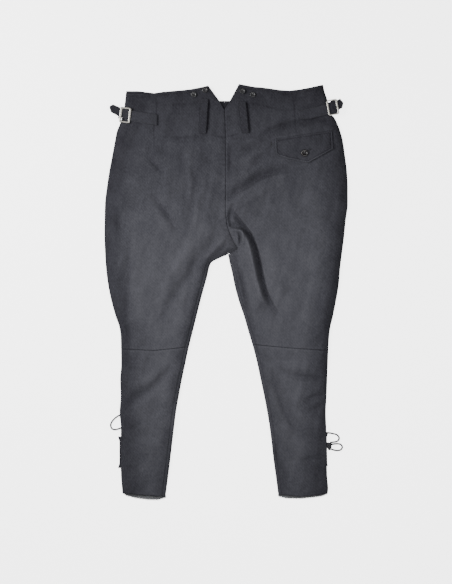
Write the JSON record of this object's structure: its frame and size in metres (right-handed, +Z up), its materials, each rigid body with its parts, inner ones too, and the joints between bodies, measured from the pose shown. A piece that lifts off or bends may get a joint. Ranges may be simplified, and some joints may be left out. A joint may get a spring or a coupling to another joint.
{
  "type": "riding breeches",
  "caption": "Close wool riding breeches laid face down: fishtail waist, adjuster straps with slide buckles, buttoned hip pocket flap and laced calf slits.",
  "frame": {"origin": "on the floor, under the middle of the garment's outline", "axes": "+X to the picture's right, which is the wearer's right, +Y from the hems up to the waist, +Z up from the floor out of the garment's back"},
  "size_m": [0.608, 1.0385, 0.023],
  "materials": {
    "wool": "heavy milled wool, matt with a fine nap",
    "edge_tape": "pale overlocked raw edge",
    "nickel": "polished nickel plate",
    "horn": "glossy black horn",
    "cord": "black braided cotton cord"
  },
  "bodies": {
    "root": {"front_left": "wool", "front_right": "wool", "back_left_upper": "wool", "back_right_upper": "wool", "back_left_lower": "wool", "back_right_lower": "wool", "hem_band_left": "edge_tape", "hem_band_right": "edge_tape", "placket_left": "wool", "placket_right": "wool", "belt_loop_left": "wool", "belt_loop_right": "wool", "strap_left": "wool", "strap_right": "wool", "buckle_left": "nickel", "buckle_right": "nickel", "buckle_tab_left": "wool", "buckle_tab_right": "wool", "pocket_flap": "wool", "brace_button_1": "horn", "brace_button_2": "horn", "brace_button_3": "horn", "brace_button_4": "horn", "flap_button": "horn", "lace_left": "cord", "lace_right_upper": "cord", "lace_right_lower": "cord", "lace_knot": "cord"}
  },
  "joints": []
}
